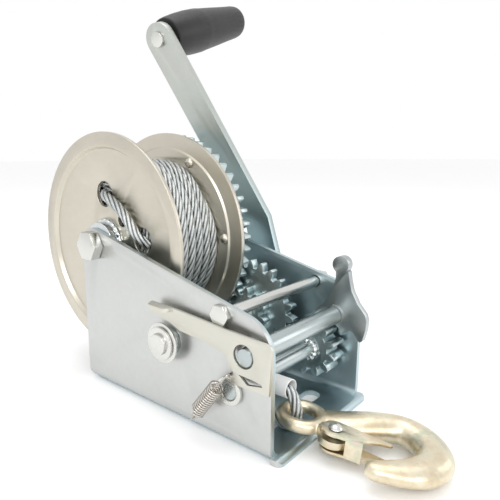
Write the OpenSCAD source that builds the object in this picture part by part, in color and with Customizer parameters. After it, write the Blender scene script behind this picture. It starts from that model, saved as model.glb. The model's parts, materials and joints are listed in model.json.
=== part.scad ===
// Hand winch for a boat trailer: channel frame, cable drum, two speed gear
// train, crank with grip, shift latch, two way pawl and a cable with hook.
// +X is the crank side, +Y the rear, +Z up. The base stands on z = 0.

/* [Frame] */
// Width over the two side plates
frame_width = 88; // [80:1:100]
// Sheet thickness of the channel
sheet = 3; // [2:0.5:5]
// Length of the side plates, front to back
frame_length = 142; // [130:1:160]
// Height of the top edge line at the front edge
front_height = 64.8; // [55:0.1:75]
// Slope of the top edge
top_slope = 14.24; // [5:0.01:20]

/* [Gears] */
// Module of every gear
gear_module = 2.5; // [2:0.25:3]
// Pressure angle
pressure = 25; // [20:1:25]
// Clearance between mating flanks
backlash = 0.35; // [0.1:0.05:0.6]
// Teeth on the drum gear
drum_teeth = 51; // [40:1:60]
// Teeth on the drive pinion
drive_teeth = 11; // [10:1:16]
// Teeth on the reduction gear
reduction_teeth = 24; // [18:1:32]
// Teeth on the ratchet pinion
ratchet_teeth = 12; // [10:1:16]

/* [Drum] */
// Outer radius of the wound cable
winding_radius = 50; // [40:1:55]
// Radius of the left flange
flange_radius = 66; // [60:1:70]
// Cable diameter
cable_d = 6; // [4:0.5:8]

/* [Crank] */
// Angle of the arm from +Y toward +Z
arm_angle = 68.1; // [0:0.1:180]
// Radius from the shaft to the grip axis
arm_radius = 182; // [150:1:220]
// Width of the flat bar
arm_width = 20; // [16:1:25]
// Thickness of the flat bar
arm_thick = 5; // [4:0.5:8]

/* [Quality] */
// Facets on full circles
fine = 64; // [32:16:128]

/* [Hidden] */
$fn = fine;
e = 0.01;
half = frame_width / 2;
inside = half - sheet;
drum = [130, 88];
crank = [66.2, 44];
front = [23.6, 29.5];
tie = [29, 66];
rod = [12.5, 50];
shaft_r = 7;
run_gap = 0.08;
cable_r = cable_d / 2;
zinc = [0.80, 0.80, 0.77];
bright = [0.88, 0.88, 0.86];
dark_zinc = [0.58, 0.66, 0.66];
gold = [0.86, 0.76, 0.52];

// Sets a piece lying along X at a point of the side view.
module at(p, x = 0) {
  translate([x, p[0], p[1]]) rotate([90, 0, 90]) children();
}
module bar(p, x0, x1, r) {
  at(p, x0) cylinder(h = x1 - x0, r = r);
}
module tube(p, x0, x1, r, bore) {
  at(p, x0) difference() {
    cylinder(h = x1 - x0, r = r);
    translate([0, 0, -1]) cylinder(h = x1 - x0 + 2, r = bore);
  }
}
module hex(p, x0, x1, across) {
  at(p, x0) intersection() {
    cylinder(h = x1 - x0, r = across / 2 / cos(30), $fn = 6);
    translate([0, 0, -1]) cylinder(h = x1 - x0 + 2, r = across / 2 * 1.13);
  }
}

// Involute gear outline.
function involute(a) = tan(a) * 180 / PI - a;
function flank(z, r) =
  let (rp = z * gear_module / 2)
  let (rb = rp * cos(pressure))
  let (a = r > rb ? acos(rb / r) : 0)
  90 / z - backlash / 4 / rp * 180 / PI + involute(pressure) - involute(a);
function tip_r(z) = z * gear_module / 2 + 0.85 * gear_module;
function root_r(z) = z * gear_module / 2 - 1.1 * gear_module;
function gear_points(z, phase, n = 6) = [
  for (i = [0 : z - 1])
    for (s = [-1, 1])
      for (k = [0 : n])
        let (j = s < 0 ? k : n - k)
        let (r = root_r(z) + (tip_r(z) - root_r(z)) * j / n)
        let (t = phase + i * 360 / z + s * flank(z, r))
        [r * cos(t), r * sin(t)]
];
module gear(p, x0, x1, z, phase, bore) {
  at(p, x0) difference() {
    linear_extrude(x1 - x0) polygon(gear_points(z, phase));
    translate([0, 0, -1]) cylinder(h = x1 - x0 + 2, r = bore);
  }
}
main_phase = 127.6;
drive_phase = 28.9;
reduction_phase = 195.2;
ratchet_phase = 11;

// Side view of the channel.
module side_outline() {
  top_y = 13.6;
  rear = frame_length;
  rise = tan(top_slope);
  difference() {
    union() {
      polygon([
        [0, 0], [rear - 6, 0], [rear, 6], [rear, rear_z()], [rear - 12.46, front_height + (rear - 12.46) * rise],
        [top_y, front_height + top_y * rise], [0, 50.8]
      ]);
      translate([18, 50.8]) circle(18);
      translate([rear - 10, rear_z()]) circle(10);
      translate([rear - 6, 6]) circle(6);
    }
    translate([-5, -1]) square([4.9, 90]);
  }
}
function rear_z() = 88;
module channel_section() {
  difference() {
    union() {
      translate([-half, 7]) square([2 * half, 110]);
      translate([-half + 7, 0]) square([2 * half - 14, 8]);
      for (s = [-1, 1]) translate([s * (half - 7), 7]) circle(7);
    }
    translate([-inside, 7]) square([2 * inside, 120]);
    translate([-half + 7, sheet]) square([2 * half - 14, 6]);
    for (s = [-1, 1]) translate([s * (half - 7), 7]) circle(4);
  }
}
module slot(x, y) {
  for (s = [-1, 1]) translate([x + s * 3, y, -1]) cylinder(h = 6, r = 5);
  translate([x - 3, y - 5, -1]) cube([6, 10, 6]);
}
module channel() difference() {
  intersection() {
    translate([0, frame_length, 0]) rotate([90, 0, 0]) linear_extrude(frame_length) channel_section();
    at([0, 0], -half - 1) linear_extrude(frame_width + 2) side_outline();
  }
  bar(drum, -half - 1, half + 1, 5.3);
  bar(tie, -half - 1, half + 1, 3.5);
  bar(rod, -half - 1, half + 1, 4.7);
  bar(crank, -half - 1, half + 1, 9);
  bar(front, -half - 1, -inside + 1, 6);
  bar(front, inside - 1, half + 1, 9);
  bar([43.9, 9.5], -half - 1, -inside + 1, 2);
  slot(20, 18.5);
  slot(-20, 18.5);
  translate([0, 122, -1]) cylinder(h = 6, r = 5);
}
// The base runs on a little in front of the side plates.
module base_lip() intersection() {
  at([0, 0], -half) linear_extrude(frame_width) intersection() {
    union() {
      translate([-2.5, 0]) circle(3);
      translate([-2.5, 0]) square([2.5 + e, 3]);
    }
    translate([-6, 0]) square([6 + e, 3]);
  }
  union() {
    translate([-half + 3.5, -6, -1]) cube([frame_width - 7, 6.5, 5]);
    translate([-half, -2, -1]) cube([frame_width, 2.5, 5]);
    for (s = [-1, 1]) translate([s * (half - 3.5), -2, -1]) cylinder(h = 5, r = 3.5);
  }
}
module frame() color(zinc) {
  channel();
  base_lip();
}
module drum_axle_bolt() color(bright) {
  hex(drum, -half - 6.4, -half, 16);
  bar(drum, -half - e, half + 5, 5);
}
module drum_axle_nut() color(bright) difference() {
  hex(drum, half, half + 5, 16);
  bar(drum, half - 1, half + 6, 5);
}
module drum_spacer() color(dark_zinc) tube(drum, 24.8, inside, 9, 5.2);
module tie_bolt() color(dark_zinc) {
  hex(tie, -half - 3, -half, 10);
  bar(tie, -half - e, half + 6, 3.2);
}
module side_nuts() color(bright) {
  difference() {
    hex(tie, half, half + 5, 10);
    bar(tie, half - 1, half + 7, 3.2);
  }
  difference() {
    hex(rod, half, half + 6, 14);
    bar(rod, half - 1, half + 7, 4.4);
  }
}
module pawl_rod() color(dark_zinc) {
  bar(rod, -47.9, half + 7, 4.4);
  tube(rod, -38, 33.4, 5.2, 4.4);
}
module crank_shaft_bushes() color(dark_zinc) {
  for (s = [-1, 1]) {
    tube(crank, s < 0 ? -half : inside, s < 0 ? -inside : half, 9, shaft_r + run_gap);
    tube(crank, s < 0 ? -inside : inside - 1.8, s < 0 ? -inside + 1.8 : inside, 11.5, shaft_r + run_gap);
  }
}
module front_bush_left() color(bright) {
  tube(front, -half - 2, -half, 7.3, 4.5 + run_gap);
  tube(front, -half - 0.1, -inside, 6, 4.5 + run_gap);
}
module front_bush_right() color(bright) {
  tube(front, inside, half, 9, shaft_r + run_gap);
  tube(front, half, half + 2, 11, shaft_r + run_gap);
}

// Drum.
module drum_hub() color(dark_zinc) tube(drum, -40.5, 24.5, 13, 5 + run_gap);
module flange_hole(angle, r, d) {
  translate([r * cos(angle), r * sin(angle), -50]) cylinder(h = 30, r = d / 2);
}
module left_flange() color(zinc) at(drum) difference() {
  rotate_extrude($fn = 128) polygon([
    [13, -31], [57.4, -31], [58.8, -33.7], [flange_radius, -33.7],
    [flange_radius, -36.2], [57.6, -36.2], [56.2, -33.5], [13, -33.5]
  ]);
  flange_hole(86, 29.6, 15.5);
  flange_hole(133.6, 20.2, 7.5);
  flange_hole(172, 32.7, 15);
}
module right_flange() color(zinc) at(drum) difference() {
  rotate_extrude($fn = 128) polygon([
    [13, 12.5], [56.6, 12.5], [57.6, 13.7], [66.5, 13.7],
    [66.5, 16.2], [57, 16.2], [56, 15], [13, 15]
  ]);
  for (i = [0 : 5]) rotate(117.5 + 60 * i) translate([53.5, 0, 10]) cylinder(h = 10, r = 2.6);
}
module main_gear() color(dark_zinc) difference() {
  union() {
    at(drum, 17.5) linear_extrude(5.8) polygon(gear_points(drum_teeth, main_phase));
    bar(drum, 15, 18, 55.8);
  }
  bar(drum, 14, 25, 13);
  at(drum, 19.5) difference() {
    cylinder(h = 6, r = 50);
    translate([0, 0, -1]) cylinder(h = 8, r = 20);
  }
  at(drum) for (i = [0 : 5]) rotate(117.5 + 60 * i) translate([53.5, 0, 10]) cylinder(h = 20, r = 2.6);
}
module gear_rivets() color(bright) at(drum) for (i = [0 : 5]) {
  rotate(117.5 + 60 * i) translate([53.5, 0, 0]) {
    translate([0, 0, 12]) cylinder(h = 11.8, r = 2.6);
    intersection() {
      translate([0, 0, 13.6]) sphere(3.4, $fn = 32);
      translate([0, 0, 9]) cylinder(h = 3.5, r = 5);
    }
    translate([0, 0, 23.3]) cylinder(h = 0.9, r = 3.3);
  }
}
turns = 7;
module cable_winding() color(bright) at(drum) rotate_extrude($fn = 96) difference() {
  union() {
    translate([13, -31]) square([winding_radius - 13 - cable_r, 43.5]);
    for (i = [0 : turns - 1])
      translate([winding_radius - cable_r, -28 + i * 6.25]) circle(cable_r, $fn = 24);
  }
  translate([0, 12.5]) square([60, 3]);
  translate([0, -34]) square([60, 3]);
}

// Sweep of a round cable along smoothed points.
function unit(v) = v / norm(v);
function blend4(a, b, c, d, t) =
  0.5 * (2 * b + t * (c - a) + t * t * (2 * a - 5 * b + 4 * c - d) + t * t * t * (3 * b - a - 3 * c + d));
function smooth(p, n) = [
  for (i = [0 : len(p) - 2])
    for (k = [0 : n - 1])
      blend4(p[max(i - 1, 0)], p[i], p[i + 1], p[min(i + 2, len(p) - 1)], k / n),
  p[len(p) - 1]
];
function heading(p, i) = unit(p[min(i + 1, len(p) - 1)] - p[max(i - 1, 0)]);
module sweep(p, r, ref, sides = 10) {
  n = len(p);
  points = [
    for (i = [0 : n - 1])
      let (t = heading(p, i))
      let (s = unit(ref - t * (t * ref)))
      let (u = cross(t, s))
      for (k = [0 : sides - 1])
        p[i] + r * (cos(360 * k / sides) * s + sin(360 * k / sides) * u)
  ];
  faces = [
    [for (k = [0 : sides - 1]) sides - 1 - k],
    for (i = [0 : n - 2])
      for (k = [0 : sides - 1])
        let (m = (k + 1) % sides)
        let (a = i * sides)
        let (b = a + sides)
        each [[a + k, a + m, b + m], [a + k, b + m, b + k]],
    [for (k = [0 : sides - 1]) (n - 1) * sides + k]
  ];
  polyhedron(points, [for (f = faces) [for (k = [len(f) - 1 : -1 : 0]) f[k]]], convexity = 8);
}
anchor_a = [-31, 132.06, 117.5];
anchor_b = [-31, 97.6, 92.6];
anchor_points = [
  anchor_a, [-33.5, 132, 117.4], [-35.9, 130, 116], [-36.9, 126, 113.1], [-37, 114.8, 105],
  [-36.9, 103.6, 96.9], [-35.9, 99.6, 94], [-33.5, 97.7, 92.7], anchor_b
];
module cable_anchor() color(bright) difference() {
  sweep(smooth(anchor_points, 3), cable_r, unit([0, -24.9, 34.46]));
  translate([-31, 60, 60]) cube([10, 100, 100]);
}
run_points = [
  [-12, 136.6, 34.9], [-12.4, 115, 32.3], [-13, 90, 29.2], [-13.6, 66, 26.2], [-14.2, 48, 24],
  [-14.8, 34, 22.2], [-15.6, 24, 21.5], [-16.4, 18.5, 23.4], [-17.1, 12.5, 25.8], [-17.7, 7, 24.2],
  [-18.1, 3.6, 19], [-18.3, 2.2, 12.6], [-18.2, 4.6, 7.6], [-17.9, 10, 6.3], [-17.2, 17, 9],
  [-16.2, 25, 13.6], [-15.2, 34, 16], [-14.6, 44, 17.3], [-14.4, 48, 17.8]
];
module cable_run() color(bright) sweep(smooth(run_points, 3), cable_r, [1, 0, 0]);
module cable_ferrule() color(zinc) translate([-15, 38, 19.7]) rotate([7, 0, 0]) rotate([90, 0, 0])
  difference() {
    union() {
      for (s = [-1, 1]) translate([0, s * 3.1, -8]) cylinder(h = 16, r = 4.5);
      translate([-4.5, -3.1, -8]) cube([9, 6.2, 16]);
    }
    for (s = [-1, 1]) translate([0, s * 3.1, -9]) cylinder(h = 18, r = 3.05);
  }
module cable_tag() color([0.95, 0.95, 0.93]) translate([-17.2, 11.8, 25.4]) rotate([90, 0, 0])
  translate([0, 0, -5]) difference() {
    cylinder(h = 10, r = 5);
    translate([0, 0, -1]) cylinder(h = 12, r = 4.5);
  }

// Crank shaft and what turns with it.
module shaft_washer() color(bright) tube(crank, -49.6, -48.5, 11, 5.5 + run_gap);
module crank_shaft() color(dark_zinc) {
  bar(crank, -53, -48.2 + e, 5.5);
  bar(crank, -48.2, 54.1, shaft_r);
  bar(crank, 49, 54.1, 9.5);
  at(crank, 54.1 - e) intersection() {
    cylinder(h = 5, r = 6.3);
    translate([-5.3, -8, -1]) cube([10.6, 16, 8]);
  }
  bar(crank, 59.0, 71, 4.9);
}
module shaft_collar() color(bright) tube(crank, -51.4, -49.9, 9, 5.5);
module drive_pinion() color(dark_zinc) {
  gear(crank, 19.7, 25.5, drive_teeth, drive_phase, shaft_r);
  tube(crank, 25.5, 32, 10.5, shaft_r);
}
module reduction_gear() color(dark_zinc) difference() {
  gear(crank, 25.5, 31, reduction_teeth, reduction_phase, 10.5);
  at(crank, 29.5) difference() {
    cylinder(h = 3, r = 23);
    translate([0, 0, -1]) cylinder(h = 6, r = 14);
  }
}
// The flat bar in its own plane: first figure along the bar, second along X.
lean = 18.9;
bend_r = 55.2;
bend_x = 58.8;
tip_x = bend_x - (arm_radius - bend_r) * tan(lean);
module arm_profile() {
  t = arm_thick / cos(lean);
  polygon([
    [-arm_width / 2 - 4, 54.1], [10.6, 54.1], [bend_r, bend_x],
    [arm_radius + 14, bend_x - (arm_radius + 14 - bend_r) * tan(lean)],
    [arm_radius + 14, bend_x - (arm_radius + 14 - bend_r) * tan(lean) + t],
    [bend_r + 1.2, bend_x + arm_thick + 0.1], [bend_r - 1.2, bend_x + arm_thick - 0.1],
    [10.6, 54.1 + arm_thick], [-arm_width / 2 - 4, 54.1 + arm_thick]
  ]);
}
// Sets children with their x along the bar and z along +X.
module on_arm() at(crank) rotate(arm_angle) children();
module crank_arm() color(zinc) on_arm() difference() {
  intersection() {
    rotate([90, 0, 0]) translate([0, 0, -arm_width / 2 - 3]) linear_extrude(arm_width + 6) arm_profile();
    union() {
      translate([0, 0, 0]) cylinder(h = 80, r = 12.5);
      intersection() {
        translate([0, -arm_width / 2, 0]) cube([arm_radius + 20, arm_width, 80]);
        grip_place() translate([-300, -20, -150]) cube([300, 40, 300]);
      }
      grip_place() translate([0, 0, -20]) cylinder(h = 60, r = arm_width / 2 - 0.04);
    }
    translate([-20, -20, 0]) cube([arm_radius + 30, 40, 80]);
  }
  translate([0, 0, 50]) rotate(-arm_angle) intersection() {
    cylinder(h = 12, r = 6.3);
    translate([-5.3, -8, -1]) cube([10.6, 16, 14]);
  }
  grip_place() translate([0, 0, -3]) cylinder(h = 12, r = 4);
}
// Grip axis: square to the outer part of the bar, from its inner face.
module grip_place() translate([arm_radius, 0, tip_x]) rotate([0, lean, 0]) children();
module crank_washer() color(bright) tube(crank, 59.1, 60.9, 10, 4.9);
module crank_nut() color(bright) difference() {
  hex(crank, 60.9, 68.9, 16);
  bar(crank, 60, 70, 4.9);
}
module grip_pin() color(bright) on_arm() grip_place() {
  translate([0, 0, -1.8]) cylinder(h = 1.8 + e, r = 4.6);
  cylinder(h = 92, r = 4);
  translate([0, 0, 5]) cylinder(h = 2.7, r = 6.5);
  translate([0, 0, 90.4]) cylinder(h = 1.6, r = 6.5);
}
module grip() color([0.20, 0.21, 0.21]) on_arm() grip_place() difference() {
  rotate_extrude() polygon([
    [4.08, 8], [11.3, 8], [11.9, 8.6], [12.5, 12], [13.4, 20], [14.1, 31], [14.2, 42], [13.8, 47],
    [13, 62], [12, 78], [11.5, 89], [11.1, 92], [10.3, 93.5], [9.2, 94], [4.08, 94]
  ]);
  translate([0, 0, 90]) cylinder(h = 5, r = 7.5);
}

// Low speed shaft and the two way pawl.
module front_shaft() color(dark_zinc) {
  bar(front, -45.7, 27, 4.5);
  bar(front, 26, 47.5, shaft_r);
  at(front, 47.5 - e) intersection() {
    cylinder(h = 5, r = 6.3);
    translate([-5.3, -8, -1]) cube([10.6, 16, 8]);
  }
  bar(front, 52.4, 56.4, 4.9);
}
module ratchet_pinion() color(dark_zinc) gear(front, 26, 38.5, ratchet_teeth, ratchet_phase, shaft_r);
module pawl_outline() {
  difference() {
    union() {
      polygon([
        [5.4, 76], [4.6, 71], [3, 65], [-0.6, 58.5], [-5.4, 53], [-6.6, 49.6], [-6.2, 44], [-4.6, 37.6],
        [-3.4, 36.6], [-1.8, 37.2], [0.6, 41], [2.8, 42.2], [7.2, 39.4], [9, 39.9], [10.6, 42.6], [14, 43.6],
        [18.5, 44.4], [22, 46.6], [24.6, 46.9],
        [26.5, 47.6], [25.4, 50.5], [20.2, 55.6], [15.6, 62.5], [13.2, 71], [13.4, 76]
      ]);
      translate([10, 78.5]) circle(4.6);
      translate(rod) circle(7);
    }
    translate(front) circle(tip_r(ratchet_teeth) + 0.9);
    translate(rod) circle(4.4 + run_gap);
  }
}
module pawl_lever() color([0.42, 0.46, 0.48]) difference() {
  union() {
    at([0, 0], 36.2) linear_extrude(4) pawl_outline();
    tube(rod, 33.8, 36.3, 5.6, 4.4 + run_gap);
    at([10, 79.5], 35) cylinder(h = 5.2, r = 4.9);
  }
  bar(rod, 30, 42, 4.4 + run_gap);
}

// Shift latch on the outside of the left plate, and its spring's two ends.
spring_a = [19.4, 41.2];
spring_b = [43.9, 9.5];
module latch_outline() {
  difference() {
    union() {
      polygon([
        [60, 64.5], [53.5, 64.1], [22.6, 61.5], [0, 60.1], [-2.4, 59.5], [-3.4, 57.9], [-2, 36.2], [15, 36],
        [19.3, 36.1], [20.3, 42.1], [22.1, 49], [38.6, 52.6], [53.1, 53.7], [60, 56.4], [73.9, 59.4], [73.9, 63.3]
      ]);
      translate([73.9, 61.35]) circle(1.95);
    }
    translate(crank) circle(11.8);
    translate([12.3, 51]) circle(5.8);
    translate(spring_a) circle(1.3);
    polygon([[15.2, 41.8], [9.9, 38], [1.6, 39.6], [2, 40.8], [7.4, 41.4]]);
  }
}
module latch_plate() color([0.82, 0.81, 0.75]) {
  at([0, 0], -48.8) linear_extrude(1.6) latch_outline();
  // Thumb tab turned outward along the rear of the arm.
  intersection() {
    at([0, 0], -54) linear_extrude(6.8) polygon([[57, 62.5], [57, 64.4], [75.3, 65], [75.3, 63]]);
    union() {
      translate([-49.4, 58, 50]) cube([2.2, 16.8, 20]);
      translate([-49.4, 62.4, 50]) cylinder(h = 20, r = 3.6);
      translate([-49.4, 70.4, 50]) cylinder(h = 20, r = 3.6);
      translate([-53, 62.4, 50]) cube([4, 8, 20]);
    }
  }
}
spring_len = norm(spring_b - spring_a);
spring_turn = atan2(spring_b[1] - spring_a[1], spring_b[0] - spring_a[0]);
module latch_spring() color([0.72, 0.70, 0.66]) at(spring_a, -51.9) rotate(spring_turn) rotate([0, 90, 0]) {
  for (i = [0 : 12]) translate([0, 0, 9.5 + i * 1.75])
    rotate_extrude($fn = 32) translate([3.4, 0]) circle(0.55, $fn = 16);
  translate([0, 0, 9.5]) cylinder(h = 21, r = 3.4, $fn = 32);
  translate([0, 0, 0.6]) cylinder(h = 9, r = 0.55, $fn = 16);
  translate([0, 0, 30]) cylinder(h = spring_len - 31.2, r = 0.55, $fn = 16);
  translate([0, 0, 0.6]) rotate([0, -90, 0]) cylinder(h = 7, r = 0.55, $fn = 16);
  translate([0, 0, spring_len - 1.2]) rotate([0, -90, 0]) cylinder(h = 9.7, r = 0.55, $fn = 16);
}

// Hook in its own frame: x along the shank, y to the right, z up.
eye = [-16.8, 0.2, 12.95];
module hook_place() translate(eye) rotate([0, 5.3, -77.2]) children();
bow = [42, 1.5];
rivet = [18.6, -8.5];
module bow_section() translate([19.5, 0]) {
  square([19, 1.4], center = true);
  square([7, 13.4], center = true);
  for (sx = [-1, 1], sz = [-1, 1]) translate([sx * 3.4, sz * 0.6]) circle(6.08);
}
module hook() color(gold) hook_place() difference() {
  union() {
    rotate_extrude() translate([9.6, 0]) circle(3.4, $fn = 32);
    difference() {
      union() {
        translate([0, 0, -3.4]) linear_extrude(6.8)
          polygon([[3, 12], [19, 21.5], [27, 20], [27, 1], [24, -11], [20.5, -14.4], [15, -14], [4, -11.5]]);
        translate([0, 0, -6]) linear_extrude(12)
          polygon([
            [15, 18.6], [24, 24.6], [35, 30], [42.5, 30], [42.5, 11.8], [36, 9.4], [30, 5.4], [24, 6], [17, 10.5]
          ]);
      }
      translate([0, 0, -10]) cylinder(h = 20, r = 9.6);
    }
    translate([bow[0], bow[1], 0]) rotate(-92) rotate_extrude(angle = 190) bow_section();
    translate([41, -18.6, -5.6]) cylinder(h = 11.2, r = 8.9);
  }
  translate([rivet[0], rivet[1], 0.6]) cylinder(h = 5, r = 7.2);
  translate([rivet[0], rivet[1], -8]) cylinder(h = 16, r = 2);
}
module hook_latch_rivet() color(zinc) hook_place() translate([rivet[0], rivet[1], 0]) {
  translate([0, 0, -5.8]) cylinder(h = 11.6, r = 2);
  for (s = [0, 1]) mirror([0, 0, s]) intersection() {
    translate([0, 0, 2.9]) sphere(4.2, $fn = 32);
    translate([0, 0, 5.3]) cylinder(h = 2, r = 4);
  }
}
module hook_latch_spring() color([0.72, 0.70, 0.66]) hook_place() translate([rivet[0], rivet[1], 0]) {
  for (i = [0 : 2]) translate([0, 0, 1.3 + i * 0.85])
    rotate_extrude($fn = 24) translate([3, 0]) circle(0.45, $fn = 12);
  translate([0, 0, 1.3]) difference() {
    cylinder(h = 1.7, r = 3);
    translate([0, 0, -1]) cylinder(h = 4, r = 2.6);
  }
}
module cheek() {
  difference() {
    union() {
      circle(6.2);
      polygon([
        [0, -6.2], [8, -5.3], [14, -3.7], [18, -1.4], [21, 0.2], [24.6, 0.6], [25.2, 1.6], [24, 2.6], [8, 5], [0, 6.2]
      ]);
    }
    circle(2 + run_gap);
  }
}
module hook_latch() color(gold) hook_place() translate([rivet[0], rivet[1], 0]) {
  for (s = [0, 1]) mirror([0, 0, s]) translate([0, 0, 3.8]) linear_extrude(1.2) cheek();
  translate([6.2, -5.5, -5]) cube([7.6, 1.2, 10]);
}

frame();
drum_axle_bolt();
drum_axle_nut();
drum_spacer();
tie_bolt();
side_nuts();
pawl_rod();
crank_shaft_bushes();
front_bush_left();
front_bush_right();
cable_run();
cable_ferrule();
cable_tag();
drum_hub();
left_flange();
right_flange();
main_gear();
gear_rivets();
cable_winding();
cable_anchor();
shaft_washer();
crank_shaft();
shaft_collar();
drive_pinion();
reduction_gear();
crank_arm();
crank_washer();
crank_nut();
grip_pin();
grip();
front_shaft();
ratchet_pinion();
pawl_lever();
latch_plate();
latch_spring();
hook();
hook_latch_rivet();
hook_latch_spring();
hook_latch();
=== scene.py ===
import json
import math
import bpy
from mathutils import Matrix, Vector


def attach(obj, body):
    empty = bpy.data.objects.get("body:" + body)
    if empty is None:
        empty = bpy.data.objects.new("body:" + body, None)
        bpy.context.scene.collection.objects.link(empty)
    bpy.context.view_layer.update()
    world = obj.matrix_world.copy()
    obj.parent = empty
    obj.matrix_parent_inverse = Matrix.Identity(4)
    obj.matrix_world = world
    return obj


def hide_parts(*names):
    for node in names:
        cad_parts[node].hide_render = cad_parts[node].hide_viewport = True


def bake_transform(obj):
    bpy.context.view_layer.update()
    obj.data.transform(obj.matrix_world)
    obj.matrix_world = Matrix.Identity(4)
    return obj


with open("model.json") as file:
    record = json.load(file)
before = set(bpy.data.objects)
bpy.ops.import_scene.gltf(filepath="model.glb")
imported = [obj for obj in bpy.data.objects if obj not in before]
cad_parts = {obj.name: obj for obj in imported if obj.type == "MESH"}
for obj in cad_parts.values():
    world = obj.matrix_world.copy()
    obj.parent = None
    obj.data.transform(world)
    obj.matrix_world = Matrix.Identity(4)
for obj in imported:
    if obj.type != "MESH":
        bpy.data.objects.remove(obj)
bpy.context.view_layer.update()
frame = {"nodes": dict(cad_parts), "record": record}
nodes = frame["nodes"]
bodies = frame["record"]["behaviour"]["bodies"]
body_of_node = {node: body for body, names in bodies.items() for node in names}
MM = 0.001  # shapes are worked out in millimetres, the scene is in metres


# ---------------------------------------------------------------- camera

CAMERA_PLACE = (-0.2115, -0.1173, 0.1397)
CAMERA_HEADING = -48.19
CAMERA_DIP = 11.5
CAMERA_ROLL = -0.36


def set_camera():
    """Looks at the winch from the front left and a little above."""
    lens = bpy.data.cameras.new("camera")
    lens.lens = 35.47
    lens.sensor_width = 36
    lens.shift_x = 0.068
    lens.shift_y = 0.012
    lens.clip_start = 0.01
    eye = bpy.data.objects.new("camera", lens)
    heading = Matrix.Rotation(math.radians(CAMERA_HEADING), 4, "Z")
    dip = Matrix.Rotation(math.radians(90 - CAMERA_DIP), 4, "X")
    roll = Matrix.Rotation(math.radians(CAMERA_ROLL), 4, "Z")
    eye.matrix_world = Matrix.Translation(CAMERA_PLACE) @ heading @ dip @ roll
    bpy.context.scene.collection.objects.link(eye)
    bpy.context.scene.camera = eye


set_camera()


# ---------------------------------------------------------------- finishes

def new_finish(name):
    """An empty finish with its node tree, its main shader and its coordinates."""
    finish = bpy.data.materials.new(name)
    finish.use_nodes = True
    tree = finish.node_tree
    where = tree.nodes.new("ShaderNodeTexCoord")
    return finish, tree, tree.nodes["Principled BSDF"], where


def noise(tree, place, scale, detail=4, rough=0.55):
    node = tree.nodes.new("ShaderNodeTexNoise")
    node.inputs["Scale"].default_value = scale
    node.inputs["Detail"].default_value = detail
    node.inputs["Roughness"].default_value = rough
    tree.links.new(place, node.inputs["Vector"])
    return node.outputs["Fac"]


def stretch(tree, place, scale):
    node = tree.nodes.new("ShaderNodeMapping")
    node.inputs["Scale"].default_value = scale
    tree.links.new(place, node.inputs["Vector"])
    return node.outputs["Vector"]


def ramp(tree, value, stops):
    """Colours at their positions along a value."""
    node = tree.nodes.new("ShaderNodeValToRGB")
    marks = node.color_ramp.elements
    marks[0].position, marks[0].color = stops[0][0], (*stops[0][1], 1)
    marks[1].position, marks[1].color = stops[-1][0], (*stops[-1][1], 1)
    for at, colour in stops[1:-1]:
        mark = marks.new(at)
        mark.color = (*colour, 1)
    tree.links.new(value, node.inputs["Fac"])
    return node.outputs["Color"]


def spread(tree, value, low, high, start=0.3, end=0.7):
    """A value between start and end, stretched to run from low to high."""
    node = tree.nodes.new("ShaderNodeMapRange")
    node.inputs["From Min"].default_value = start
    node.inputs["From Max"].default_value = end
    node.inputs["To Min"].default_value = low
    node.inputs["To Max"].default_value = high
    tree.links.new(value, node.inputs["Value"])
    return node.outputs["Result"]


def lay_over(tree, amount, base, colour):
    """The base with a plain colour laid over it by amount."""
    node = tree.nodes.new("ShaderNodeMix")
    node.data_type = "RGBA"
    tree.links.new(amount, node.inputs["Factor"])
    tree.links.new(base, node.inputs[6])
    node.inputs[7].default_value = (*colour, 1)
    return node.outputs[2]


def bump(tree, shader, height, strength, distance):
    node = tree.nodes.new("ShaderNodeBump")
    node.inputs["Strength"].default_value = strength
    node.inputs["Distance"].default_value = distance
    tree.links.new(height, node.inputs["Height"])
    tree.links.new(node.outputs["Normal"], shader.inputs["Normal"])


def shade(colour, factor):
    return tuple(min(1, c * factor) for c in colour)


def plated(name, colour, rough, grain=(1, 1, 1), swing=0.06, grit=0.12, spots=0.0, painted_light=None):
    """Plated steel: slow cloudiness, a rolled grain and a faint grit; the last argument, a colour painted in
    along one axis as painted shade and reflection, is (axis, from, to, colour).
    """
    finish, tree, shader, where = new_finish(name)
    place = where.outputs["Object"]
    cloud = noise(tree, place, 22, 5)
    lined = noise(tree, stretch(tree, place, grain), 260, 3)
    fine = noise(tree, place, 1400, 2)
    tone = tree.nodes.new("ShaderNodeMath")
    tone.operation = "MULTIPLY_ADD"
    tree.links.new(lined, tone.inputs[0])
    tone.inputs[1].default_value = 0.35
    tree.links.new(cloud, tone.inputs[2])
    stops = [(0.45, shade(colour, 1 - swing)), (0.68, colour), (0.9, shade(colour, 1 + swing))]
    base = ramp(tree, tone.outputs["Value"], stops)
    if spots:
        mask = ramp(tree, noise(tree, place, 320, 2), [(0.66, (0, 0, 0)), (0.74, (1, 1, 1))])
        base = lay_over(tree, mask, base, shade(colour, 1 - spots))
    # Painted shade and reflection: a colour laid over the plating along one axis.
    if painted_light:
        axis, start, end, tint = painted_light
        split = tree.nodes.new("ShaderNodeSeparateXYZ")
        tree.links.new(place, split.inputs["Vector"])
        base = lay_over(tree, spread(tree, split.outputs[axis], 0, 1, start, end), base, tint)
    tree.links.new(base, shader.inputs["Base Color"])
    tree.links.new(spread(tree, cloud, rough - 0.05, rough + 0.07), shader.inputs["Roughness"])
    shader.inputs["Metallic"].default_value = 1
    bump(tree, shader, fine, grit, 0.00005)
    return finish


def black_grip():
    finish, tree, shader, where = new_finish("moulded_black_grip")
    place = where.outputs["Object"]
    fine = noise(tree, place, 900, 3)
    base = ramp(tree, noise(tree, place, 40, 3), [(0.3, (0.012, 0.013, 0.012)), (0.7, (0.020, 0.021, 0.020))])
    tree.links.new(base, shader.inputs["Base Color"])
    tree.links.new(spread(tree, fine, 0.34, 0.46), shader.inputs["Roughness"])
    shader.inputs["Specular IOR Level"].default_value = 0.32
    bump(tree, shader, fine, 0.15, 0.00008)
    return finish


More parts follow.
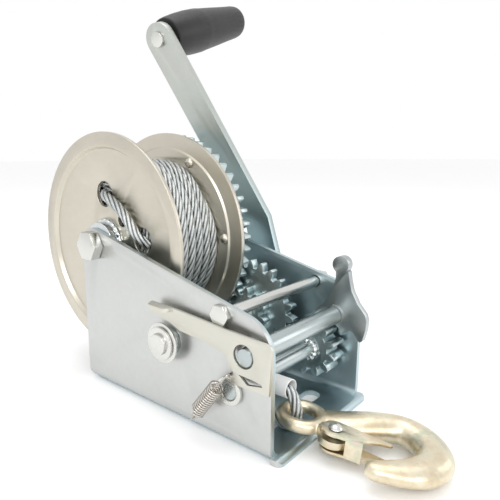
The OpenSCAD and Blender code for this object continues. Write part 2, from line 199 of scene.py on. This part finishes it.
def gold_hook():
    """Gold plating over a forged skin, clouded with pale, greenish and pinkish patches."""
    finish, tree, shader, where = new_finish("gold_forged_hook")
    place = where.outputs["Object"]
    cloud = noise(tree, place, 48, 6, 0.62)
    pits = noise(tree, place, 420, 4, 0.7)
    base = ramp(tree, cloud, [
        (0.28, (0.50, 0.40, 0.25)), (0.42, (0.66, 0.565, 0.40)), (0.54, (0.76, 0.69, 0.54)),
        (0.62, (0.58, 0.60, 0.46)), (0.72, (0.70, 0.56, 0.49))
    ])
    tree.links.new(base, shader.inputs["Base Color"])
    tree.links.new(spread(tree, pits, 0.26, 0.44), shader.inputs["Roughness"])
    shader.inputs["Metallic"].default_value = 1
    bump(tree, shader, pits, 0.42, 0.0004)
    return finish


def wire_rope():
    """Bright wire rope: fine wires in each strand, and painted shade in the grooves between the strands."""
    finish, tree, shader, where = new_finish("bright_wire_rope")
    wave = tree.nodes.new("ShaderNodeTexWave")
    wave.bands_direction = "DIAGONAL"
    wave.inputs["Scale"].default_value = 2.2
    wave.inputs["Distortion"].default_value = 0.4
    tree.links.new(stretch(tree, where.outputs["UV"], (1, 5, 1)), wave.inputs["Vector"])
    groove_shade = tree.nodes.new("ShaderNodeVertexColor")
    groove_shade.layer_name = "groove_shade"
    cloud = noise(tree, where.outputs["Object"], 45, 4)
    base = ramp(tree, cloud, [(0.3, (0.50, 0.53, 0.53)), (0.7, (0.72, 0.74, 0.73))])
    # Painted shade: near black laid into the grooves between the strands.
    base = lay_over(tree, groove_shade.outputs["Color"], base, (0.045, 0.05, 0.052))
    tree.links.new(base, shader.inputs["Base Color"])
    tree.links.new(spread(tree, wave.outputs["Fac"], 0.26, 0.42, 0, 1), shader.inputs["Roughness"])
    shader.inputs["Metallic"].default_value = 1
    bump(tree, shader, wave.outputs["Fac"], 0.35, 0.00012)
    return finish


def white_tag():
    finish, tree, shader, where = new_finish("plain_white_tag")
    fine = noise(tree, where.outputs["Object"], 700, 4)
    base = ramp(tree, fine, [(0.3, (0.90, 0.90, 0.89)), (0.7, (0.95, 0.95, 0.94))])
    tree.links.new(base, shader.inputs["Base Color"])
    shader.inputs["Roughness"].default_value = 0.6
    bump(tree, shader, fine, 0.1, 0.00005)
    return finish


def coat(ob, finish):
    """Gives a whole piece one finish."""
    ob.data.materials.clear()
    ob.data.materials.append(finish)


# The frame is bluer everywhere but on its left face, a painted reflection, and the crank bar turns darker and
# bluer as it goes down, painted shade.
SIDE_REFLECTION = ("X", -0.0436, -0.0412, (0.48, 0.58, 0.61))
BAR_SHADE = ("Z", 0.19, 0.06, (0.36, 0.46, 0.48))
ALONG_X = (0.08, 1, 1)
sheet_zinc = plated("satin_zinc_sheet", (0.575, 0.585, 0.575), 0.36, ALONG_X, swing=0.05, painted_light=SIDE_REFLECTION)
flange_zinc = plated("warm_zinc_flange", (0.60, 0.565, 0.485), 0.34, (1, 0.4, 1), swing=0.06)
bar_zinc = plated("zinc_crank_bar", (0.53, 0.55, 0.515), 0.36, (1, 0.1, 0.1), swing=0.05, painted_light=BAR_SHADE)
bright_zinc = plated("bright_zinc_fastener", (0.66, 0.66, 0.63), 0.24, swing=0.05, spots=0.15)
gear_zinc = plated("blue_zinc_gear", (0.52, 0.60, 0.61), 0.30, swing=0.14, spots=0.30)
rod_zinc = plated("blue_zinc_rod", (0.46, 0.51, 0.51), 0.28, (0.1, 1, 1), swing=0.10)
pawl_grey = plated("grey_pawl", (0.44, 0.47, 0.475), 0.32, swing=0.12)
latch_zinc = plated("cream_zinc_latch", (0.62, 0.61, 0.545), 0.40, (1, 0.2, 1), swing=0.03)
spring_wire = plated("bright_spring_wire", (0.52, 0.49, 0.45), 0.20, swing=0.10)
sleeve_metal = plated("soft_crimped_sleeve", (0.58, 0.58, 0.57), 0.38, swing=0.05)
weld_metal = plated("bright_weld_bead", (0.70, 0.74, 0.75), 0.20, swing=0.15, grit=0.5)
hook_gold = gold_hook()
grip_black = black_grip()
rope = wire_rope()
tag_white = white_tag()


# ---------------------------------------------------------------- cable

ROPE_RADIUS = 3.0
ROPE_LAY = 38
ROPE_MAP = 0.006  # length of rope to one unit of its map, so its wire pattern is very fine
STRANDS = 6
STRAND_FACETS = 4

DRUM = Vector((0, 130, 88))
FIRST_LANE = -27.85
LANE_PITCH = 6.2
LANES = 7
LAYER_RADII = (21.8, 26.9, 32.0, 37.1, 42.2, 47.0)
TOP_LIFTS = (0.2, 1.0, 0.0, 1.2, 0.3, 0.9, 0.1)  # how far each turn of the top layer rides up
TURN_STEPS = 40
CROSSING = 0.2  # the share of each turn in which the cable moves to the next lane


def smooth_line(points, count):
    """Points on a rounded line through the given ones, count to each stretch."""
    pts = [Vector(p) for p in points]
    out = []
    for i in range(len(pts) - 1):
        a, b = pts[max(i - 1, 0)], pts[i]
        c, d = pts[i + 1], pts[min(i + 2, len(pts) - 1)]
        for k in range(count):
            t = k / count
            square = t * t * (2 * a - 5 * b + 4 * c - d)
            cube = t ** 3 * (3 * b - a - 3 * c + d)
            out.append(0.5 * (2 * b + t * (c - a) + square + cube))
    out.append(pts[-1])
    return out


def even(line, step):
    """The same line with a point every step."""
    lengths = [0.0]
    for a, b in zip(line, line[1:]):
        lengths.append(lengths[-1] + (b - a).length)
    total = lengths[-1]
    count = max(2, round(total / step))
    out, j = [], 0
    for i in range(count + 1):
        want = total * i / count
        while j < len(line) - 2 and lengths[j + 1] < want:
            j += 1
        span = lengths[j + 1] - lengths[j] or 1
        out.append(line[j].lerp(line[j + 1], min(1, max(0, (want - lengths[j]) / span))))
    return out


def rope_section():
    """The strands' outline as (angle, radius, mark), where the mark is 1 between two strands, for the painted
    shade in the groove there.
    """
    middle, strand = ROPE_RADIUS * 2 / 3, ROPE_RADIUS / 3 * 1.04
    section = []
    for s in range(STRANDS):
        for k in range(STRAND_FACETS):
            off = (k / STRAND_FACETS - 0.5) * 2 * math.pi / STRANDS
            reach = middle * math.cos(off) + math.sqrt(max(0, strand ** 2 - (middle * math.sin(off)) ** 2))
            groove_shade = 1.0 if k == 0 else 0.0
            section.append((s * 2 * math.pi / STRANDS + off, min(reach, ROPE_RADIUS), groove_shade))
    return section


def lay_rope(name, parts):
    """A rope of twisted strands along (line, step) parts, with its path and its length in metres."""
    pts = []
    for line, step in parts:
        pts += even(line, step)[1 if pts else 0:]
    total = sum((b - a).length for a, b in zip(pts, pts[1:]))
    section = rope_section()
    sides = len(section)
    last = len(pts) - 1
    verts, uvs, groove_shades, faces = [], [], [], []
    side = None
    run = 0.0
    for i, p in enumerate(pts):
        along = (pts[min(i + 1, last)] - pts[max(i - 1, 0)]).normalized()
        if side is None:
            side = along.orthogonal().normalized()
        side = (side - along * side.dot(along)).normalized()
        up = along.cross(side)
        if i:
            run += (p - pts[i - 1]).length
        for angle, reach, groove_shade in section:
            turned = angle + run / ROPE_LAY * 2 * math.pi
            verts.append(p + reach * (math.cos(turned) * side + math.sin(turned) * up))
            uvs.append((run / ROPE_MAP, angle / (2 * math.pi) * STRANDS))
            groove_shades.append(groove_shade)
    for i in range(last):
        for k in range(sides):
            m = (k + 1) % sides
            faces.append((i * sides + k, i * sides + m, (i + 1) * sides + m, (i + 1) * sides + k))
    faces.append(tuple(reversed(range(sides))))
    faces.append(tuple(last * sides + k for k in range(sides)))
    mesh = bpy.data.meshes.new(name)
    mesh.from_pydata([v * MM for v in verts], [], faces)
    chart = mesh.uv_layers.new(name="rope")
    # Painted shade: a mark at each vertex between two strands, read by the rope's finish.
    tint = mesh.color_attributes.new("groove_shade", "FLOAT_COLOR", "POINT")
    for i, groove_shade in enumerate(groove_shades):
        tint.data[i].color = (groove_shade, groove_shade, groove_shade, 1)
    for poly in mesh.polygons:
        poly.use_smooth = True
        for corner in poly.loop_indices:
            chart.data[corner].uv = uvs[mesh.loops[corner].vertex_index]
    ob = bpy.data.objects.new(name, mesh)
    bpy.context.scene.collection.objects.link(ob)
    coat(ob, rope)
    return ob, [[c * MM for c in p] for p in pts], total * MM


def on_drum(x, radius, angle):
    return Vector((x, DRUM.y + radius * math.cos(angle), DRUM.z + radius * math.sin(angle)))


def cable_end():
    """The cable's end, which goes out through the left flange, across its face and back in."""
    return smooth_line([
        (-30.4, 95.2, 89.8), (-32.4, 96.6, 91.4), (-34.6, 98.4, 93.8), (-36.2, 100.8, 97),
        (-36.9, 104.4, 101.8), (-37, 109.4, 107), (-37, 115.6, 111.4), (-36.9, 121.6, 114.6),
        (-36.2, 126.4, 116.4), (-34.4, 129.8, 117.4), (-32.2, 132.2, 117.8), (-29.8, 133.6, 117.2),
        (-27.6, 133.4, 115), (-26.8, 126, 110), (-27, 114, 102), (-27.85, 108.2, 88)
    ], 8)


def drum_turns():
    """Layer on layer of turns, each layer laid back over the last."""
    lanes = [FIRST_LANE + LANE_PITCH * k for k in range(LANES)]
    top = len(LAYER_RADII) - 1
    line = []
    angle = math.pi
    for layer, radius in enumerate(LAYER_RADII):
        order = lanes if layer % 2 == 0 else lanes[::-1]
        for k, x in enumerate(order):
            next_x, next_radius = x, radius
            if k + 1 < LANES:
                next_x = order[k + 1]
            elif layer < top:
                next_radius = LAYER_RADII[layer + 1]
            lift = TOP_LIFTS[k] if layer == top else 0
            for s in range(TURN_STEPS):
                turn = s / TURN_STEPS
                move = min(1, max(0, (turn - (1 - CROSSING)) / CROSSING))
                move = move * move * (3 - 2 * move)
                out = radius + (next_radius - radius) * move + lift * math.sin(math.pi * turn)
                line.append(on_drum(x + (next_x - x) * move, out, angle + turn * 2 * math.pi))
            angle += 2 * math.pi
    return line


end = cable_end()
wound, wound_path, wound_length = lay_rope("wound_cable", [(end, 0.9), ([end[-1]] + drum_turns()[1:], 3.15)])
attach(wound, "drum")
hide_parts(nodes["cable_winding"].name, nodes["cable_anchor"].name)

# From the drum down to the hook's eye, round it and back into the sleeve.
run_line = smooth_line([
    (-12, 136.6, 34.9), (-12.4, 115, 32.3), (-13, 90, 29.2), (-13.6, 66, 26.2), (-14.2, 48, 24),
    (-14.8, 34, 22.2), (-15.6, 24, 21.5), (-16.4, 18.5, 23.4), (-17.1, 12.5, 25.8), (-17.7, 7, 24.2),
    (-18.1, 3.6, 19), (-18.3, 2.2, 12.6), (-18.2, 4.6, 7.6), (-17.9, 10, 6.3), (-17.2, 17, 9),
    (-16.2, 25, 13.6), (-15.2, 34, 16), (-14.6, 44, 17.3), (-14.4, 48, 17.8)
], 6)
free_run, run_path, run_length = lay_rope("cable_run_to_hook", [(run_line, 1.2)])
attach(free_run, "frame_body")
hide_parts(nodes["cable_run"].name)


# ---------------------------------------------------------------- pieces finished from their solids

def only(ob):
    """Selects one piece and nothing else."""
    bpy.ops.object.select_all(action="DESELECT")
    ob.select_set(True)
    bpy.context.view_layer.objects.active = ob


def merged_copy(node, name):
    """A copy of a solid with its loose triangles joined into clean faces."""
    ob = bpy.data.objects.new(name, nodes[node].data.copy())
    bpy.context.scene.collection.objects.link(ob)
    only(ob)
    bpy.ops.object.mode_set(mode="EDIT")
    bpy.ops.mesh.select_all(action="SELECT")
    bpy.ops.mesh.remove_doubles(threshold=0.000002)
    bpy.ops.mesh.dissolve_limited(angle_limit=math.radians(0.6))
    bpy.ops.object.mode_set(mode="OBJECT")
    return ob


def soften(node, name, finish, width, segments=2, angle=32):
    """Breaks the edges of a solid sharper than angle, to a width in millimetres, and gives it its finish."""
    ob = merged_copy(node, name)
    edges = ob.modifiers.new("edges", "BEVEL")
    edges.limit_method = "ANGLE"
    edges.angle_limit = math.radians(angle)
    edges.width = width * MM
    edges.segments = segments
    edges.use_clamp_overlap = True
    bpy.ops.object.modifier_apply(modifier="edges")
    bpy.ops.object.shade_smooth_by_angle(angle=math.radians(35))
    coat(ob, finish)
    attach(ob, body_of_node[node])
    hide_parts(nodes[node].name)
    return ob


# Node, piece, finish, edge width, and where they differ from the usual the edge's segments and angle.
SOLID_PIECES = (
    ("frame", "channel_frame", sheet_zinc, 0.7, 3),
    ("left_flange", "left_drum_flange", flange_zinc, 0.5),
    ("right_flange", "right_drum_flange", flange_zinc, 0.5),
    ("main_gear", "drum_gear", gear_zinc, 0.3, 2, 25),
    ("drive_pinion", "small_drive_pinion", gear_zinc, 0.35, 2, 25),
    ("reduction_gear", "reduction_gear_wheel", gear_zinc, 0.35, 2, 25),
    ("ratchet_pinion", "ratchet_gear", gear_zinc, 0.4, 2, 25),
    ("crank_arm", "crank_bar", bar_zinc, 0.6, 3),
    ("latch_plate", "shift_latch_plate", latch_zinc, 0.35),
    ("pawl_lever", "two_way_pawl", pawl_grey, 0.5, 3),
    ("hook_latch", "hook_gate", hook_gold, 0.25),
    ("drum_hub", "drum_hub_tube", weld_metal, 0.4),
    ("drum_spacer", "axle_spacer", rod_zinc, 0.4),
    ("pawl_rod", "pawl_pivot_rod", rod_zinc, 0.5, 3),
    ("tie_bolt", "tie_bolt_across", bright_zinc, 0.4, 3),
    ("side_nuts", "plain_side_nuts", bright_zinc, 0.4, 3),
    ("drum_axle_bolt", "axle_bolt", bright_zinc, 0.5, 3),
    ("drum_axle_nut", "axle_nut", bright_zinc, 0.4, 3),
    ("crank_shaft", "crank_shaft_bar", bright_zinc, 0.5, 3),
    ("shaft_washer", "shaft_end_washer", bright_zinc, 0.25),
    ("shaft_collar", "shaft_end_collar", bright_zinc, 0.35, 3),
    ("crank_shaft_bushes", "crank_bushes", rod_zinc, 0.3),
    ("front_bush_left", "front_left_bush", bright_zinc, 0.4, 3),
    ("front_bush_right", "front_right_bush", bright_zinc, 0.4, 3),
    ("front_shaft", "low_gear_shaft", rod_zinc, 0.4, 3),
    ("crank_washer", "crank_plain_washer", bright_zinc, 0.3),
    ("crank_nut", "crank_hex_nut", bright_zinc, 0.4, 3),
    ("grip_pin", "grip_rivet", bright_zinc, 0.4, 3),
    ("grip", "hand_grip", grip_black, 0.5, 3),
    ("gear_rivets", "gear_rivet_heads", flange_zinc, 0.2),
    ("hook_latch_rivet", "gate_rivet", bright_zinc, 0.2),
    ("cable_ferrule", "cable_sleeve", sleeve_metal, 0.6, 3),
    ("cable_tag", "blank_tag", tag_white, 0.1, 1),
)
piece_of_node = {row[0]: soften(*row) for row in SOLID_PIECES}


# ---------------------------------------------------------------- springs

GATE_RIVET = Vector((18.6, -8.5, 0))  # in the hook's own frame, whose origin is its eye
HOOK_PLACE = (
    Matrix.Translation((-16.8, 0.2, 12.95))
    @ Matrix.Rotation(math.radians(-77.2), 4, "Z")
    @ Matrix.Rotation(math.radians(5.3), 4, "Y")
)


def coil_spring(name, radius, wire, pitch, turns):
    """An open coil about +Z from z = 0, in millimetres."""
    bpy.ops.object.select_all(action="DESELECT")
    bpy.ops.mesh.primitive_circle_add(
        vertices=10, radius=wire, fill_type="NOTHING", location=(radius, 0, 0), rotation=(math.pi / 2, 0, 0)
    )
    ob = bpy.context.object
    ob.name = name
    bpy.ops.object.transform_apply(location=True, rotation=True, scale=True)
    wind = ob.modifiers.new("wind", "SCREW")
    wind.angle = turns * 2 * math.pi
    wind.screw_offset = pitch * turns
    wind.steps = int(turns * 20)
    wind.render_steps = int(turns * 20)
    bpy.ops.object.modifier_apply(modifier="wind")
    bpy.ops.object.mode_set(mode="EDIT")
    bpy.ops.mesh.select_all(action="SELECT")
    bpy.ops.mesh.fill_holes(sides=12)
    bpy.ops.mesh.select_all(action="SELECT")
    bpy.ops.mesh.normals_make_consistent(inside=False)
    bpy.ops.object.mode_set(mode="OBJECT")
    bpy.ops.object.shade_smooth()
    coat(ob, spring_wire)
    return ob


def wire_piece(name, points, radius):
    """A bent spring wire along rounded points, in millimetres."""
    curve = bpy.data.curves.new(name, "CURVE")
    curve.dimensions = "3D"
    curve.bevel_depth = radius
    curve.bevel_resolution = 2
    curve.use_fill_caps = True
    line = smooth_line(points, 6)
    spline = curve.splines.new("POLY")
    spline.points.add(len(line) - 1)
    for spot, p in zip(spline.points, line):
        spot.co = (*p, 1)
    ob = bpy.data.objects.new(name, curve)
    bpy.context.scene.collection.objects.link(ob)
    only(ob)
    bpy.ops.object.convert(target="MESH")
    ob = bpy.context.object
    bpy.ops.object.shade_smooth()
    coat(ob, spring_wire)
    return ob


def join(first, *others):
    bpy.ops.object.select_all(action="DESELECT")
    for ob in (first, *others):
        ob.select_set(True)
    bpy.context.view_layer.objects.active = first
    bpy.ops.object.join()
    return first


def latch_spring():
    """A coil with a long wire at each end, from a hole in the latch down to one in the frame."""
    top, foot = Vector((-51.9, 19.4, 41.2)), Vector((-51.9, 43.9, 9.5))
    coil_radius, wire, pitch, turns = 3.4, 0.52, 1.62, 13
    along = (foot - top).normalized()
    length = (foot - top).length
    coil = coil_spring("latch_coil_spring", coil_radius, wire, pitch, turns)
    start = 9.6
    end = start + pitch * turns
    # Each end comes to the middle of the coil, runs straight out and turns in through its hole.
    head = wire_piece("spring_head", [
        (coil_radius, 0, start), (2.2, 2.4, start - 0.6), (0.4, 1.4, start - 1.6), (0, 0, start - 3),
        (0, 0, 2.4), (-0.6, 0, 0.8), (-2.4, 0, 0.5), (-6.8, 0, 0.6)
    ], wire)
    tail = wire_piece("spring_tail", [
        (coil_radius, 0, end), (2.2, -2.4, end + 0.6), (0.4, -1.4, end + 1.6), (0, 0, end + 3),
        (0, 0, length - 3), (-0.6, 0, length - 1.4), (-2.4, 0, length - 1.1), (-9.4, 0, length - 1.2)
    ], wire)
    coil.data.transform(Matrix.Translation((0, 0, start)))
    ob = join(coil, head, tail)
    lean = Matrix(((-1, 0, 0, 0), (0, -along.z, along.y, 0), (0, along.y, along.z, 0), (0, 0, 0, 1)))
    ob.data.transform(Matrix.Scale(MM, 4) @ Matrix.Translation(top) @ lean)
    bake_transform(ob)
    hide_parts(nodes["latch_spring"].name)


def gate_spring():
    """A short coil round the gate's rivet."""
    coil = coil_spring("gate_coil_spring", 3.0, 0.4, 0.86, 2.5)
    base = Matrix.Translation(GATE_RIVET + Vector((0, 0, 1.3)))
    coil.data.transform(Matrix.Scale(MM, 4) @ HOOK_PLACE @ base)
    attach(coil, "hook_body")
    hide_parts(nodes["hook_latch_spring"].name)


latch_spring()
gate_spring()


# ---------------------------------------------------------------- forged hook

# The bow from the eye round to the point: centre x and y, half width and half thickness.
BOW_STATIONS = (
    (9, 3, 6.6, 3.0), (14, 4.6, 8.2, 4.0), (21, 6.4, 8.6, 5.2), (30, 11, 8.4, 6.4), (37, 14.6, 7.9, 6.6),
    (43, 16.8, 7.6, 6.6), (49, 16.2, 7.8, 6.6), (55.5, 12.2, 8.0, 6.6), (60.2, 5, 8.3, 6.5),
    (61, -3, 8.4, 6.3), (57.6, -10.6, 8.0, 5.8), (51, -16.4, 7.0, 5.0), (43.5, -20.4, 5.8, 4.4),
    (38.5, -21.8, 4.8, 3.9), (35.6, -22.2, 2.8, 2.6)
)


def draw_out(name, centres, headings, sizes, sides):
    """An oval drawn out along a flat line; sizes are its half widths across the line and half thicknesses."""
    bpy.ops.object.select_all(action="DESELECT")
    bpy.ops.mesh.primitive_circle_add(
        vertices=sides, radius=1, fill_type="NGON", location=centres[0],
        rotation=(0, math.pi / 2, headings[0])
    )
    ob = bpy.context.object
    ob.name = name
    ob.scale = (sizes[0][1], sizes[0][0], 1)
    bpy.ops.object.transform_apply(location=True, rotation=True, scale=True)
    bpy.ops.object.mode_set(mode="EDIT")
    bpy.ops.mesh.select_all(action="SELECT")
    for i in range(1, len(centres)):
        here = centres[i]
        turn = (headings[i] - headings[i - 1] + math.pi) % (2 * math.pi) - math.pi
        bpy.ops.mesh.extrude_region_move(TRANSFORM_OT_translate={"value": here - centres[i - 1]})
        # The operator turns the other way when it has no window.
        bpy.ops.transform.rotate(value=-turn, orient_axis="Z", center_override=here)
        bpy.ops.transform.resize(
            value=(1, sizes[i][0] / sizes[i - 1][0], sizes[i][1] / sizes[i - 1][1]),
            orient_matrix=Matrix.Rotation(headings[i], 3, "Z"), orient_matrix_type="GLOBAL",
            center_override=here
        )
    bpy.ops.mesh.select_all(action="SELECT")
    bpy.ops.mesh.normals_make_consistent(inside=False)
    bpy.ops.object.mode_set(mode="OBJECT")
    return ob


def hook_bow():
    centres = smooth_line([(x, y, 0) for x, y, width, thickness in BOW_STATIONS], 5)
    sizes = smooth_line([(width, thickness, 0) for x, y, width, thickness in BOW_STATIONS], 5)
    last = len(centres) - 1
    ahead = [centres[min(i + 1, last)] - centres[max(i - 1, 0)] for i in range(last + 1)]
    return draw_out("hook_bow", centres, [math.atan2(step.y, step.x) for step in ahead], sizes, 20)


def drill(ob, centre, radius, depth):
    """Takes a cylinder along Z out of a piece."""
    bpy.ops.object.select_all(action="DESELECT")
    bpy.ops.mesh.primitive_cylinder_add(vertices=48, radius=radius, depth=depth, location=centre)
    cutter = bpy.context.object
    cut = ob.modifiers.new("cut", "BOOLEAN")
    cut.operation = "DIFFERENCE"
    cut.object = cutter
    only(ob)
    bpy.ops.object.modifier_apply(modifier="cut")
    bpy.data.objects.remove(cutter)


def forge_hook():
    """The eye's ring, the bow and the rivet's lug, melted together as a forging and then cut."""
    bpy.ops.object.select_all(action="DESELECT")
    bpy.ops.mesh.primitive_torus_add(
        major_radius=9.6, minor_radius=3.4, major_segments=48, minor_segments=18, location=(0, 0, 0)
    )
    ring = bpy.context.object
    ring.name = "forged_hook"
    bow = hook_bow()
    bpy.ops.object.select_all(action="DESELECT")
    bpy.ops.mesh.primitive_cylinder_add(vertices=48, radius=7.4, depth=6.4, location=(18.2, -7.6, 0))
    lug = bpy.context.object
    only(lug)
    bpy.ops.object.transform_apply(location=True, rotation=True, scale=True)
    ob = join(ring, bow, lug)
    melt = ob.modifiers.new("melt", "REMESH")
    melt.mode = "VOXEL"
    melt.voxel_size = 0.55
    bpy.ops.object.modifier_apply(modifier="melt")
    flow = ob.modifiers.new("flow", "SMOOTH")
    flow.factor = 0.6
    flow.iterations = 10
    bpy.ops.object.modifier_apply(modifier="flow")
    drill(ob, GATE_RIVET + Vector((0, 0, 4.1)), 7.0, 6.0)  # a flat on the lug, under the gate and its spring
    drill(ob, (0, 0, 0), 6.1, 30)  # the eye
    ob.data.transform(Matrix.Scale(MM, 4) @ HOOK_PLACE)
    bpy.ops.object.shade_smooth_by_angle(angle=math.radians(40))
    coat(ob, hook_gold)
    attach(ob, "hook_body")
    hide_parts(nodes["hook"].name)


forge_hook()


# ---------------------------------------------------------------- welds

BEAD_RINGS = 132
BEAD_SIDES = 10
Z_TO_X = Matrix(((0, 0, 1, 0), (1, 0, 0, 0), (0, 1, 0, 0), (0, 0, 0, 1)))


def weld_bead(name, centre, radius, size, ripples, body):
    """A rippled bead of weld round a shaft that runs along X, in millimetres."""
    angles = [2 * math.pi * i / BEAD_RINGS for i in range(BEAD_RINGS + 1)]
    swells = [1 + 0.16 * math.sin(ripples * a) + 0.10 * math.sin(5 * a + 1) for a in angles]
    centres = [radius * Vector((math.cos(a), math.sin(a), 0)) for a in angles]
    sizes = [(0.8 * size * swell, size * swell) for swell in swells]
    ob = draw_out(name, centres, [a + math.pi / 2 for a in angles], sizes, BEAD_SIDES)
    # Its two ends meet, so their faces go and their edges are merged.
    only(ob)
    bpy.ops.object.mode_set(mode="EDIT")
    bpy.ops.mesh.select_all(action="DESELECT")
    bpy.ops.mesh.select_face_by_sides(number=BEAD_SIDES)
    bpy.ops.mesh.delete(type="ONLY_FACE")
    bpy.ops.mesh.select_all(action="SELECT")
    bpy.ops.mesh.remove_doubles(threshold=0.01)
    bpy.ops.mesh.normals_make_consistent(inside=False)
    bpy.ops.object.mode_set(mode="OBJECT")
    ob.data.transform(Matrix.Scale(MM, 4) @ Matrix.Translation(centre) @ Z_TO_X)
    bpy.ops.object.shade_smooth()
    coat(ob, weld_metal)
    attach(ob, body)


weld_bead("hub_weld_left", (-34.2, 130, 88), 13.2, 2.2, 22, "drum")
weld_bead("gear_shaft_weld", (25.0, 23.6, 29.5), 5.2, 2.0, 13, "low_gear")


# ---------------------------------------------------------------- studio

def soft_box(name, where, aim, size, power):
    light = bpy.data.lights.new(name, "AREA")
    light.shape = "RECTANGLE"
    light.size, light.size_y = size
    light.energy = power
    ob = bpy.data.objects.new(name, light)
    ob.location = where
    ob.rotation_euler = (Vector(aim) - Vector(where)).to_track_quat("-Z", "Y").to_euler()
    bpy.context.scene.collection.objects.link(ob)


def studio():
    """A pale floor under a white sky, with four soft lights."""
    bpy.context.scene.view_settings.view_transform = "Standard"
    bpy.ops.object.select_all(action="DESELECT")
    bpy.ops.mesh.primitive_plane_add(size=30, location=(0, 0, 0))
    floor = bpy.context.object
    floor.name = "studio_floor"
    finish, tree, shader, where = new_finish("pale_floor")
    shader.inputs["Base Color"].default_value = (0.96, 0.96, 0.96, 1)
    shader.inputs["Roughness"].default_value = 0.9
    floor.data.materials.append(finish)
    world = bpy.data.worlds.new("studio_air")
    world.use_nodes = True
    air = world.node_tree.nodes["Background"]
    air.inputs["Color"].default_value = (1, 1, 1, 1)
    air.inputs["Strength"].default_value = 1.0
    bpy.context.scene.world = world
    middle = (0, 0.06, 0.08)
    soft_box("key_light", (-0.9, -0.5, 0.9), middle, (0.6, 0.45), 4.5)
    soft_box("top_light", (0.1, 0.1, 1.3), middle, (0.9, 0.9), 4)
    soft_box("fill_light", (-0.45, -0.95, 0.4), (0, 0.06, 0.05), (0.4, 0.4), 1.6)
    soft_box("side_light", (0.9, -0.8, 0.5), middle, (0.4, 0.6), 1.2)


studio()
